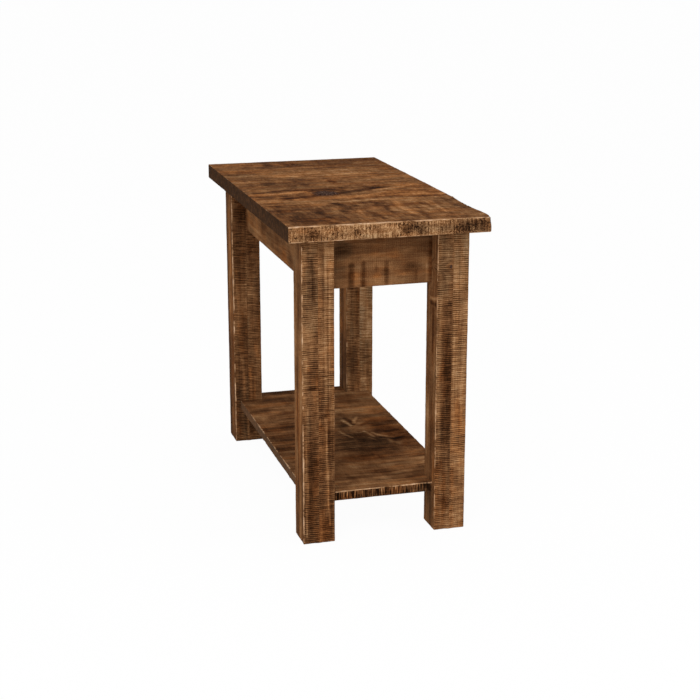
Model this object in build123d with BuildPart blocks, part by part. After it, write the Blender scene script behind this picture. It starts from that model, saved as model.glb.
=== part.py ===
from build123d import *
from math import cos, radians, sin
import os

# Rustic chairside table: four square legs, each glued up from two boards, joined by four aprons
# with mitred tenons, a thick top of edge-glued boards held down by wooden buttons, and a low
# shelf notched round the legs.
#
# Millimetres. X runs across the short side, Y along the long side with the front facing -Y,
# and Z up from the floor. The origin is on the floor, under the middle of the top.

os.makedirs("parts", exist_ok=True)

# ---- Overall size -------------------------------------------------------------------------
table_width = 393.7          # X, 15.5 in
table_depth = 762.0          # Y, 30 in
table_height = 635.0         # Z, 25 in

# ---- Top: boards across X, glued edge to edge; the front board takes what is left of Y -------
top_thickness = 30.5
top_overhang = 31.75         # past the legs' outer faces, all round
top_back_width = 232.0
top_mid_back_width = 137.0
top_mid_front_width = 175.0
top_arris = 2.0              # radius of the eased outer edges
top_dowel_radius = 4.0
top_dowel_length = 40.0
top_dowel_count = 4          # across each seam
top_dowel_end_margin = 83.0  # from the top's ends to the outer dowels

# ---- Legs: two boards glued face to face; the inner board takes what is left of X ------------
leg_size = 63.5
leg_outer_board = 31.75
leg_arris = 1.5
foot_chamfer = 1.5

# ---- Aprons -------------------------------------------------------------------------------
apron_height = 106.0
apron_thickness = 22.0
apron_leg_step = 7.5         # from the apron's inner face to the leg's inner face
apron_arris = 0.8

# ---- Apron tenons and their mortises ---------------------------------------------------------
tenon_thickness = 9.5
tenon_top_shoulder = 14.0
tenon_bottom_shoulder = 10.0
tenon_mitre_gap = 1.0        # between the two tenons that meet inside a leg
mortise_clearance = 0.1
mortise_end_clearance = 1.5

# ---- Corner blocks, glued and screwed behind each corner ------------------------------------
block_length = 55.0          # along each apron
block_nose = 8.0             # blunt end of each wing
block_height = 66.0
block_drop = 22.0            # from the apron's top edge to the block's top
block_leg_clearance = 0.5
block_screw_offset = 38.0    # from the apron corner to the screw, along the apron
block_screw_grip = 15.0      # wood left under the head
block_screw_bite = 15.0      # reach into the apron

# ---- Wooden buttons that hold the top down and let it move ----------------------------------
button_width = 30.0          # along the apron
button_length = 38.0         # from its back end to the shoulder of its tongue
button_gap = 1.5             # from the shoulder to the apron's inner face
button_tongue_length = 8.0   # into the slot
button_tongue_thickness = 7.4
button_screw_offset = 21.0   # from the apron's inner face
button_screw_bite = 15.0     # reach into the top
button_end_gap = 12.0        # from a corner block to the nearest button
side_button_count = 3
slot_drop = 12.0             # from the apron's top edge to the slot's upper face
slot_height = 8.0
slot_depth = 10.0
slot_length = 40.0

# ---- Shelf: boards across X, glued edge to edge; the middle board takes what is left ---------
shelf_height = 79.0          # floor to the underside
shelf_thickness = 19.05
shelf_set_back = 12.7        # from the legs' outer faces to the shelf's edges
shelf_back_width = 228.0
shelf_front_width = 151.0
shelf_arris = 1.5
shelf_leg_clearance = 0.3
shelf_dowel_radius = 3.0
shelf_dowel_length = 30.0
shelf_dowel_count = 3        # across each seam
shelf_dowel_end_margin = 52.0

# ---- Pocket screws that fix the shelf to the legs --------------------------------------------
pocket_angle = 15.0          # degrees off the shelf's plane
pocket_screw_grip = 16.0
pocket_screw_bite = 18.0
pocket_margin = 14.0         # from each end of the notch to the nearest screw

# ---- Screws and dowels in general ------------------------------------------------------------
screw_shank_radius = 2.1
screw_head_radius = 4.5
screw_head_height = 3.2
screw_head_rim = 0.8
screw_point_length = 4.0
screw_hole_clearance = 0.1
screw_head_clearance = 0.4
recess_span = 4.6
recess_width = 1.0
recess_depth = 1.6
dowel_clearance = 0.05
dowel_end_clearance = 1.0
dowel_chamfer = 0.8

# ---- Worked out from the sizes above ---------------------------------------------------------
leg_height = table_height - top_thickness
frame_half_width = table_width / 2 - top_overhang
frame_half_depth = table_depth / 2 - top_overhang
clear_half_width = frame_half_width - leg_size
clear_half_depth = frame_half_depth - leg_size

apron_bottom = leg_height - apron_height
apron_inner = leg_size - apron_leg_step
apron_set_back = apron_inner - apron_thickness
tenon_outer = apron_set_back + (apron_thickness - tenon_thickness) / 2
tenon_inner = tenon_outer + tenon_thickness
tenon_bottom = apron_bottom + tenon_bottom_shoulder
tenon_height = apron_height - tenon_top_shoulder - tenon_bottom_shoulder

block_bottom = leg_height - block_drop - block_height
button_thickness = slot_drop + button_tongue_thickness
button_reach = frame_half_depth - apron_inner - block_length - button_end_gap - button_width / 2

shelf_half_width = frame_half_width - shelf_set_back
shelf_half_depth = frame_half_depth - shelf_set_back
shelf_middle_z = shelf_height + shelf_thickness / 2
notch_length = leg_size - shelf_set_back

screw_hole_radius = screw_shank_radius + screw_hole_clearance
head_hole_radius = screw_head_radius + screw_head_clearance

# Board spans along Y, from low to high
half_depth = table_depth / 2
top_seam_back = half_depth - top_back_width
top_seam_middle = top_seam_back - top_mid_back_width
top_seam_front = top_seam_middle - top_mid_front_width
top_boards = {
    "top_board_back": (top_seam_back, half_depth),
    "top_board_mid_back": (top_seam_middle, top_seam_back),
    "top_board_mid_front": (top_seam_front, top_seam_middle),
    "top_board_front": (-half_depth, top_seam_front),
}
top_seams = (top_seam_back, top_seam_middle, top_seam_front)

shelf_seam_back = shelf_half_depth - shelf_back_width
shelf_seam_front = -shelf_half_depth + shelf_front_width
shelf_boards = {
    "shelf_board_back": (shelf_seam_back, shelf_half_depth),
    "shelf_board_middle": (shelf_seam_front, shelf_seam_back),
    "shelf_board_front": (-shelf_half_depth, shelf_seam_front),
}
shelf_seams = (shelf_seam_back, shelf_seam_front)

# Each side of the leg frame: the direction along it, and the side's middle at the outer faces
sides = {
    "front": ((1, 0, 0), (0, -frame_half_depth)),
    "right": ((0, 1, 0), (frame_half_width, 0)),
    "back": ((-1, 0, 0), (0, frame_half_depth)),
    "left": ((0, -1, 0), (-frame_half_width, 0)),
}

# Each corner of the leg frame: the direction of its first inward axis, and its signs in X and Y
corners = {
    "front_left": ((1, 0, 0), -1, -1),
    "front_right": ((0, 1, 0), 1, -1),
    "back_right": ((-1, 0, 0), 1, 1),
    "back_left": ((0, -1, 0), -1, 1),
}


# ---- Helpers ------------------------------------------------------------------------------
def side_plane(side, height):
    """A level plane on one side of the frame: its X runs along the side, its Y inwards."""
    along, (x, y) = sides[side]
    return Plane(origin=(x, y, height), x_dir=along, z_dir=(0, 0, 1))


def corner_plane(corner, height):
    """A level plane at a leg's outer corner: its X and Y both run inwards."""
    inwards, x_sign, y_sign = corners[corner]
    origin = (x_sign * frame_half_width, y_sign * frame_half_depth, height)
    return Plane(origin=origin, x_dir=inwards, z_dir=(0, 0, 1))


def spread(count, reach):
    """Evenly spaced places from -reach to reach."""
    return [reach * (2 * i / (count - 1) - 1) for i in range(count)]


def save(piece, name):
    """Label a finished sub-part and write it under its own name."""
    piece.part.label = name
    export_step(piece.part, f"parts/{name}.step")


def drill(plane, radius, start, end):
    """Cut a round hole on a plane's Z axis from start to end, in the part being built."""
    with BuildSketch(plane.offset(start)) as mouth:
        Circle(radius)
    extrude(mouth.sketch, amount=end - start, mode=Mode.SUBTRACT)


def add_screw(plane, grip, bite):
    """A washer-head wood screw on a plane's Z axis, its head seated at -grip, its tip at bite."""
    seat = -grip
    crown = seat - screw_head_height
    rim = seat - screw_head_rim
    with BuildSketch(Plane(plane.origin, x_dir=plane.x_dir, z_dir=-plane.y_dir)) as profile:
        with BuildLine():
            dome = TangentArc((0, crown), (screw_head_radius, rim), tangent=(1, 0))
            Polyline(
                dome @ 1,
                (screw_head_radius, seat),
                (screw_shank_radius, seat),
                (screw_shank_radius, bite - screw_point_length),
                (0, bite),
                (0, crown),
            )
        make_face()
    revolve(profile.sketch, axis=Axis(plane.origin, plane.z_dir))
    with BuildSketch(plane.offset(crown)) as recess:
        Rectangle(recess_span, recess_width)
        Rectangle(recess_width, recess_span)
    extrude(recess.sketch, amount=recess_depth, mode=Mode.SUBTRACT)


def seam_dowel_planes(seams, height, count, reach):
    """The middle plane of each dowel, with its Z along Y, across every seam of a panel."""
    planes = []
    for seam in seams:
        for x in spread(count, reach):
            planes.append(Plane(origin=(x, seam, height), x_dir=(1, 0, 0), z_dir=(0, 1, 0)))
    return planes


def make_dowels(name, planes, radius, length):
    """Round dowels with chamfered ends, one across each plane."""
    with BuildPart() as dowels:
        for plane in planes:
            with BuildSketch(plane.offset(-length / 2)):
                Circle(radius)
            extrude(amount=length)
        chamfer(dowels.edges().filter_by(GeomType.CIRCLE), dowel_chamfer)
    save(dowels, name)


def drill_dowel_holes(planes, radius, length):
    """The holes for a panel's dowels, in the board being built."""
    reach = length / 2 + dowel_end_clearance
    for plane in planes:
        drill(plane, radius + dowel_clearance, -reach, reach)


def ease_board(board, is_front, is_back, radius):
    """Round the board's outer edges and leave the glued edges square."""
    outer = board.edges().filter_by(Axis.Y)
    if is_front:
        outer += board.edges().filter_by(Axis.X).group_by(Axis.Y)[0]
        outer += board.edges().filter_by(Axis.Z).group_by(Axis.Y)[0]
    if is_back:
        outer += board.edges().filter_by(Axis.X).group_by(Axis.Y)[-1]
        outer += board.edges().filter_by(Axis.Z).group_by(Axis.Y)[-1]
    fillet(outer, radius)


# ---- Where the screws go --------------------------------------------------------------------
def button_places():
    """Each button as its side and its place along that side."""
    places = [("front", 0.0), ("back", 0.0)]
    for side in ("left", "right"):
        places += [(side, along) for along in spread(side_button_count, button_reach)]
    return places


def button_screw_planes():
    """Planes on the top's underside, with Z up into the top."""
    planes = []
    for side, along in button_places():
        base = side_plane(side, leg_height)
        origin = base.from_local_coords((along, apron_inner + button_screw_offset, 0))
        planes.append(Plane(origin=origin, x_dir=base.x_dir, z_dir=(0, 0, 1)))
    return planes


def block_screw_planes(corner):
    """Planes on the two aprons' inner faces behind one corner, with Z into the apron."""
    base = corner_plane(corner, block_bottom + block_height / 2)
    along = apron_inner + block_screw_offset
    first = base.from_local_coords((along, apron_inner, 0))
    second = base.from_local_coords((apron_inner, along, 0))
    return [
        Plane(origin=first, x_dir=(0, 0, 1), z_dir=-base.y_dir),
        Plane(origin=second, x_dir=(0, 0, 1), z_dir=-base.x_dir),
    ]


def pocket_screw_planes():
    """Planes on the legs' inner faces across X, with Z into the leg and rising."""
    rise = sin(radians(pocket_angle))
    run = cos(radians(pocket_angle))
    planes = []
    for _, x_sign, y_sign in corners.values():
        for from_edge in (pocket_margin, notch_length - pocket_margin):
            y = y_sign * (shelf_half_depth - from_edge)
            origin = (x_sign * clear_half_width, y, shelf_middle_z)
            planes.append(Plane(origin=origin, x_dir=(0, 1, 0), z_dir=(x_sign * run, 0, rise)))
    return planes


top_dowel_planes = seam_dowel_planes(
    top_seams,
    table_height - top_thickness / 2,
    top_dowel_count,
    table_width / 2 - top_dowel_end_margin,
)
shelf_dowel_planes = seam_dowel_planes(
    shelf_seams,
    shelf_middle_z,
    shelf_dowel_count,
    shelf_half_width - shelf_dowel_end_margin,
)


# ---- Top ------------------------------------------------------------------------------------
def make_top_board(name, y_low, y_high):
    """One board of the top, with its dowel holes and the pilots of the button screws."""
    with BuildPart() as board:
        with BuildSketch(Plane.XY.offset(leg_height)):
            with Locations((0, (y_low + y_high) / 2)):
                Rectangle(table_width, y_high - y_low)
        extrude(amount=top_thickness)
        ease_board(board, y_low == -half_depth, y_high == half_depth, top_arris)
        drill_dowel_holes(top_dowel_planes, top_dowel_radius, top_dowel_length)
        for plane in button_screw_planes():
            drill(plane, screw_hole_radius, 0, button_screw_bite)
    save(board, name)


# ---- Legs -----------------------------------------------------------------------------------
def make_leg(corner):
    """One square leg of two boards, with mortises that meet and the shelf screws' pilots."""
    mortise_end = tenon_outer - mortise_end_clearance
    mortise_side = tenon_outer - mortise_clearance
    mortise_width = tenon_thickness + 2 * mortise_clearance
    both_low = (Align.MIN, Align.MIN)
    with BuildPart() as leg:
        with BuildSketch(corner_plane(corner, 0)):
            Rectangle(leg_size, leg_size, align=both_low)
        extrude(amount=leg_height)
        fillet(leg.edges().filter_by(Axis.Z), leg_arris)
        chamfer(leg.faces().sort_by(Axis.Z)[0].edges(), foot_chamfer)
        with BuildSketch(corner_plane(corner, tenon_bottom - mortise_clearance)):
            with Locations((mortise_end, mortise_side)):
                Rectangle(leg_size - mortise_end, mortise_width, align=both_low)
            with Locations((mortise_side, mortise_end)):
                Rectangle(mortise_width, leg_size - mortise_end, align=both_low)
        extrude(amount=tenon_height + 2 * mortise_clearance, mode=Mode.SUBTRACT)
        for plane in pocket_screw_planes():
            drill(plane, screw_hole_radius, -screw_hole_radius, pocket_screw_bite)
    _, x_sign, _ = corners[corner]
    seam_x = x_sign * (frame_half_width - leg_outer_board)
    glue_plane = Plane(origin=(seam_x, 0, 0), x_dir=(0, 1, 0), z_dir=(-x_sign, 0, 0))
    for board_name, side_kept in (("inner", Keep.TOP), ("outer", Keep.BOTTOM)):
        with BuildPart() as board:
            add(leg.part)
            split(bisect_by=glue_plane, keep=side_kept)
        save(board, f"leg_{corner}_{board_name}")


# ---- Aprons ---------------------------------------------------------------------------------
def make_apron(side, clear_half_length):
    """One apron: its board between the legs, a mitred tenon at each end, and button slots."""
    outer_reach = leg_size - tenon_outer - tenon_mitre_gap
    inner_reach = leg_size - tenon_inner - tenon_mitre_gap
    end = clear_half_length
    with BuildPart() as apron:
        with BuildSketch(side_plane(side, apron_bottom)):
            with Locations((0, apron_set_back + apron_thickness / 2)):
                Rectangle(2 * clear_half_length, apron_thickness)
        extrude(amount=apron_height)
        long_edges = apron.edges().filter_by(Axis((0, 0, 0), sides[side][0]))
        fillet(long_edges.group_by(Axis.Z)[0], apron_arris)
        with BuildSketch(side_plane(side, tenon_bottom)):
            with BuildLine():
                Polyline(
                    (end, tenon_outer),
                    (end + outer_reach, tenon_outer),
                    (end + inner_reach, tenon_inner),
                    (end, tenon_inner),
                    close=True,
                )
            make_face()
            mirror(about=Plane.YZ)
        extrude(amount=tenon_height)
        with BuildSketch(side_plane(side, leg_height - slot_drop - slot_height)):
            for place_side, along in button_places():
                if place_side == side:
                    with Locations((along, apron_inner - slot_depth / 2)):
                        Rectangle(slot_length, slot_depth)
        extrude(amount=slot_height, mode=Mode.SUBTRACT)
        for corner in corners:
            for plane in block_screw_planes(corner):
                drill(plane, screw_hole_radius, 0, block_screw_bite)
    save(apron, f"apron_{side}")


# ---- Corner blocks --------------------------------------------------------------------------
def make_corner_block(corner):
    """One corner block: two wings on the aprons, notched round the leg's inner corner."""
    wing_end = apron_inner + block_length
    nose = apron_inner + block_nose
    notch = leg_size + block_leg_clearance
    with BuildPart() as block:
        with BuildSketch(corner_plane(corner, block_bottom)):
            with BuildLine():
                Polyline(
                    (notch, apron_inner),
                    (wing_end, apron_inner),
                    (wing_end, nose),
                    (nose, wing_end),
                    (apron_inner, wing_end),
                    (apron_inner, notch),
                    (notch, notch),
                    close=True,
                )
            make_face()
        extrude(amount=block_height)
        for plane in block_screw_planes(corner):
            drill(plane, screw_hole_radius, -block_screw_grip, 0)
            drill(plane, head_hole_radius, -wing_end, -block_screw_grip)
    save(block, f"corner_block_{corner}")


def make_corner_block_screws():
    """The screws that hold the corner blocks to the aprons."""
    with BuildPart() as screws:
        for corner in corners:
            for plane in block_screw_planes(corner):
                add_screw(plane, block_screw_grip, block_screw_bite)
    save(screws, "corner_block_screws")


# ---- Buttons --------------------------------------------------------------------------------
def make_top_buttons():
    """The wooden buttons: a block under the top with a tongue in the apron's slot."""
    shoulder = apron_inner + button_gap
    tongue = button_gap + button_tongue_length
    bottom = leg_height - button_thickness
    with BuildPart() as buttons:
        for side, along in button_places():
            with BuildSketch(side_plane(side, bottom)):
                with Locations((along, shoulder + button_length / 2)):
                    Rectangle(button_width, button_length)
            extrude(amount=button_thickness)
            with BuildSketch(side_plane(side, bottom)):
                with Locations((along, shoulder - tongue / 2)):
                    Rectangle(button_width, tongue)
            extrude(amount=button_tongue_thickness)
        for plane in button_screw_planes():
            drill(plane, screw_hole_radius, -button_thickness, 0)
    save(buttons, "top_buttons")


def make_top_button_screws():
    """The screws that hold the buttons to the top."""
    with BuildPart() as screws:
        for plane in button_screw_planes():
            add_screw(plane, button_thickness, button_screw_bite)
    save(screws, "top_button_screws")


# ---- Shelf ----------------------------------------------------------------------------------
def make_shelf_board(name, y_low, y_high):
    """One board of the shelf, notched round the legs, with its dowel holes and screw pockets."""
    pocket_run = shelf_thickness / sin(radians(pocket_angle))
    leg_pitch_x = 2 * frame_half_width - leg_size
    leg_pitch_y = 2 * frame_half_depth - leg_size
    notch_size = leg_size + 2 * shelf_leg_clearance
    with BuildPart() as board:
        with BuildSketch(Plane.XY.offset(shelf_height)):
            with Locations((0, (y_low + y_high) / 2)):
                Rectangle(2 * shelf_half_width, y_high - y_low)
        extrude(amount=shelf_thickness)
        ease_board(board, y_low == -shelf_half_depth, y_high == shelf_half_depth, shelf_arris)
        with BuildSketch(Plane.XY.offset(shelf_height)):
            with GridLocations(leg_pitch_x, leg_pitch_y, 2, 2):
                Rectangle(notch_size, notch_size)
        extrude(amount=shelf_thickness, mode=Mode.SUBTRACT)
        drill_dowel_holes(shelf_dowel_planes, shelf_dowel_radius, shelf_dowel_length)
        for plane in pocket_screw_planes():
            drill(plane, screw_hole_radius, -pocket_screw_grip, screw_hole_radius)
            drill(plane, head_hole_radius, -pocket_screw_grip - pocket_run, -pocket_screw_grip)
    save(board, name)


def make_shelf_screws():
    """The pocket screws that hold the shelf between the legs."""
    with BuildPart() as screws:
        for plane in pocket_screw_planes():
            add_screw(plane, pocket_screw_grip, pocket_screw_bite)
    save(screws, "shelf_screws")


# ---- Build ----------------------------------------------------------------------------------
for board_name, (low, high) in top_boards.items():
    make_top_board(board_name, low, high)
make_dowels("top_dowels", top_dowel_planes, top_dowel_radius, top_dowel_length)

for corner_name in corners:
    make_leg(corner_name)
    make_corner_block(corner_name)
make_corner_block_screws()

for side_name, side_clear_half in (
    ("front", clear_half_width),
    ("back", clear_half_width),
    ("left", clear_half_depth),
    ("right", clear_half_depth),
):
    make_apron(side_name, side_clear_half)
make_top_buttons()
make_top_button_screws()

for board_name, (low, high) in shelf_boards.items():
    make_shelf_board(board_name, low, high)
make_dowels("shelf_dowels", shelf_dowel_planes, shelf_dowel_radius, shelf_dowel_length)
make_shelf_screws()
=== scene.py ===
from collections import namedtuple
from math import pi

import bpy
import numpy as np
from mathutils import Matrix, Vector


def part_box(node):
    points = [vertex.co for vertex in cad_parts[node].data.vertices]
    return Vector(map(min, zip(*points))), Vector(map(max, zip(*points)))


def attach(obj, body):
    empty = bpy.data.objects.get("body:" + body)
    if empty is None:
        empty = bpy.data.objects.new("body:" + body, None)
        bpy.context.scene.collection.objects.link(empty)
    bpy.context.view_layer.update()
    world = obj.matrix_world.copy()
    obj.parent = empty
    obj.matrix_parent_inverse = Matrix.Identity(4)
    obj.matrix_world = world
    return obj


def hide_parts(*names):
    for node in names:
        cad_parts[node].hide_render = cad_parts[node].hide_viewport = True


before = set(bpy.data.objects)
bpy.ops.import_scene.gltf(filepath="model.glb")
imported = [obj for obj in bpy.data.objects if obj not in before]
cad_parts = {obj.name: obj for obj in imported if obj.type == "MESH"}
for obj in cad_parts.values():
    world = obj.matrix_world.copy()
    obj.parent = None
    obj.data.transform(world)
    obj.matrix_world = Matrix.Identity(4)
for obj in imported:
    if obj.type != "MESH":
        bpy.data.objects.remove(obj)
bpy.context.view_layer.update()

# Lengths are in millimetres up to where a mesh or a lamp is made. X runs to the right, Y to the
# back and Z up; the table's front faces -Y.
MM = 0.001
X, Y, Z = 0, 1, 2
LOW, HIGH = 0, 1
# The sides of a board: left, right, front, back, lower and upper
SIDES = [(axis, side) for axis in (X, Y, Z) for side in (LOW, HIGH)]
RIGHT = np.array([1.0, 0.0, 0.0])
FORWARD = np.array([0.0, -1.0, 0.0])
DOWN = np.array([0.0, 0.0, -1.0])

# ---- Camera, as the table is seen in the photograph ----
CAMERA_PLACE = (-0.84381, -3.05261, 1.18058)  # metres
CAMERA_AIM = (0.0284, 0.0, 0.28368)
CAMERA_LENS = 79.4
CAMERA_SENSOR = 36.0
CAMERA_REACH = 100.0  # metres

# ---- Light and floor ----
WHITE = (1.0, 1.0, 1.0, 1.0)
WORLD_LIGHT = 0.62
FLOOR_HALF = 30.0  # metres
FLOOR_GLOW = 0.965  # share of plain white in the floor as it is seen; the rest keeps the shadow
LAMP_AIM = (0, 0, 0.3)
# Name, place and size in metres, and watts
LAMPS = (("key", (-1.6, -2.6, 2.6), 1.6, 45), ("fill", (2.6, -1.6, 1.8), 1.8, 22))

# ---- Mesh ----
ARRIS_LINES = (0.0, 0.45, 1.0, 1.7, 2.7, 4.2)  # mesh lines beside each arris
SAWN_STEP = 1.1  # mesh step along the grain, fine enough for the saw's ridges
WIDE_STEP = 3.0  # mesh step across the grain
SHARP_TURN = 0.7  # radians; a notched board's edges are sharp from this turn on
UV_GAP = 0.006
UV_HIDDEN = 0.15  # how wide a hidden face is in the UV map, for each part of its width
UV_ENDS = 1.2  # the same for the ends

# ---- Shape of a surface ----
LEAST_ARRIS = 0.4
ARRIS_VARIES = 0.45
ARRIS_CHIPS = 1.2
CHIP_NOISE = (0.5, 1.0)  # noise from which an arris is chipped, and at which it is most so
ARRIS_SIZES = (9.0, 21.0)  # of the places where an arris varies, and of the chips
GLUED_ARRIS = 0.25  # rounding at a glued edge
GLUED_FLAT = 0.5  # how far from a glued edge that rounding holds
GLUED_FADE = 7.0  # how far from a glued edge the arris is back to its full rounding
SAW_PITCH = 3.9
SAW_WOBBLE = 1.3
SAW_DEPTH = 0.22
SAW_STRENGTH = 0.8
SAW_LIMITS = (0.05, 1.6)  # of the strength
SWELL_DEPTH = 0.35  # slow unevenness of a face
SWELL_SIZE = 70.0

# ---- Grain and stain ----
GRAIN_SWAY = 7.0
SWAY_SIZES = (170.0, 80.0, 80.0)  # along the grain, across it and through the board
PITH_ACROSS = 0.45  # share of the board's width
PITH_THROUGH = -40.0
RING_SWAY = 9.0
RING_SIZES = (210.0, 120.0, 120.0)
BOARD_SHIFT = np.array([311.0, 173.0, 97.0])  # moves the patterns on from board to board
BOARD_SHIFTS = 29
MARK_DEPTH = 14.0  # how deep a stain reaches into a board
MARK_RAGGED = 0.35
MARK_RIM = 1.5  # how suddenly a stain ends
RAGGED_SIZES = (16.0, 5.0, 5.0)
KNOT_DEPTH = 30.0
NO_KNOT = 9.0  # knot sizes away, too far to show
KNOT_REACH = (2.2, 2.4)  # how far the grain bends along it and across it, in knot sizes
KNOT_PUSH = 1.1  # how far the grain goes round a knot, in knot sizes
KNOT_TURN = 1.5  # how suddenly the grain parts at a knot
KNOT_RISE = 0.8  # how far the grain rises at a knot, in knot sizes
ARRIS_WEAR = (0.36, 0.4)  # wear of every arris, and how much it varies
ARRIS_WEAR_REACH = 1.6
EDGE_WEAR_REACH = 2.8
EDGE_WEAR_VARIES = (0.6, 0.9)
EDGE_WEAR_SIZE = 30.0

# Layers of noise: weight, one size or the sizes along the grain, across it and through the
# board, and the layer's own part of the seed
WOBBLE_NOISE = ((1.0, (60.0, 60.0, 60.0), 1), (0.35, (9.0, 24.0, 24.0), 2))
STRENGTH_NOISE = ((0.45, (60.0, 24.0, 24.0), 3), (0.6, (3.4, 20.0, 20.0), 15))
UNEVEN_NOISE = ((1.0, 9.0, 9), (0.7, 3.5, 16))

Mark = namedtuple("Mark", "centre radii tone warmth")
Stroke = namedtuple("Stroke", "centre path radii tone warmth")
Knot = namedtuple("Knot", "centre radii")
Face = namedtuple("Face", "corner right down")
Dent = namedtuple("Dent", "centre radii depth")


# ==== Noise ====
def hashed(cells, seed):
    """A repeatable number from 0 to 1 for each whole-number point in space."""
    x, y, z = cells.astype(np.uint64).T
    mixed = x * np.uint64(73856093) ^ y * np.uint64(19349663) ^ z * np.uint64(83492791)
    mixed ^= np.uint64(seed * 2654435761)
    for shift, factor in ((15, 2246822519), (13, 3266489917)):
        mixed &= np.uint64(0xFFFFFFFF)
        mixed = (mixed ^ mixed >> np.uint64(shift)) * np.uint64(factor)
    mixed &= np.uint64(0xFFFFFFFF)
    return (mixed ^ mixed >> np.uint64(16)) / 0xFFFFFFFF


def noise(points, seed):
    """Smooth noise from -1 to 1, one number for each point."""
    base = np.floor(points)
    part = points - base
    part = part * part * (3 - 2 * part)
    cells = base.astype(np.int64)
    total = np.zeros(len(points))
    for corner in np.ndindex(2, 2, 2):
        weight = np.where(corner, part, 1 - part).prod(axis=1)
        total += weight * hashed(cells + corner, seed)
    return 2 * total - 1


def layered_noise(points, seed, layers=3):
    """Noise with finer layers added at half the strength each."""
    total = np.zeros(len(points))
    for layer in range(layers):
        total += noise(points * 2**layer, seed + layer) / 2**layer
    return total


def noise_sum(start, points, seed, layers):
    """start plus layers of noise, each with its weight, its size and its own seed."""
    total = np.full(len(points), start)
    for weight, size, own_seed in layers:
        total += weight * noise(points / size, seed + own_seed)
    return total


def fade(values, start, end):
    """0 up to start, 1 from end on, smooth between."""
    part = np.clip((values - start) / (end - start), 0, 1)
    return part * part * (3 - 2 * part)


# ==== Board meshes ====
def mesh_lines(low, high, step):
    """Places of the mesh lines between two faces, closer together beside the arrises."""
    near = np.array(ARRIS_LINES)
    reach = ARRIS_LINES[-1]
    count = max(2, round((high - low - 2 * reach) / step))
    inner = np.linspace(low + reach, high - reach, count + 1)[1:-1]
    return np.concatenate([low + near, inner, high - near[::-1]])


def snap(lines, place):
    """Move the nearest mesh line onto a place."""
    lines[np.abs(lines - place).argmin()] = place


def filled_cells(lines, notches):
    """Which cells between the mesh lines hold wood."""
    middles = [(line[1:] + line[:-1]) / 2 for line in lines]
    filled = np.ones([len(m) for m in middles], bool)
    for low, high in notches:
        inside = [(m > low[axis]) & (m < high[axis]) for axis, m in enumerate(middles)]
        filled[np.ix_(*inside)] = False
    return filled


def surface_quads(filled):
    """Every quad between a filled cell and an empty one: its corners on the mesh lines' grid,
    the axis that it faces along and whether it faces the low or the high side."""
    shape = [count + 1 for count in filled.shape]
    grid = np.arange(np.prod(shape)).reshape(shape)
    padded = np.pad(filled, 1)
    quads, axes, sides = [], [], []
    for axis in (X, Y, Z):
        order = (axis, (axis + 1) % 3, (axis + 2) % 3)
        wood = np.transpose(padded, order)[:, 1:-1, 1:-1]
        index = np.transpose(grid, order)
        for side, here, beyond in ((LOW, wood[1:], wood[:-1]), (HIGH, wood[:-1], wood[1:])):
            k, i, j = np.nonzero(here & ~beyond)
            found = np.stack(
                [index[k, i, j], index[k, i + 1, j], index[k, i + 1, j + 1], index[k, i, j + 1]],
                axis=1,
            )
            quads.append(found if side == HIGH else found[:, ::-1])
            axes.append(np.full(len(found), axis))
            sides.append(np.full(len(found), side))
    return np.concatenate(quads), np.concatenate(axes), np.concatenate(sides)


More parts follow.
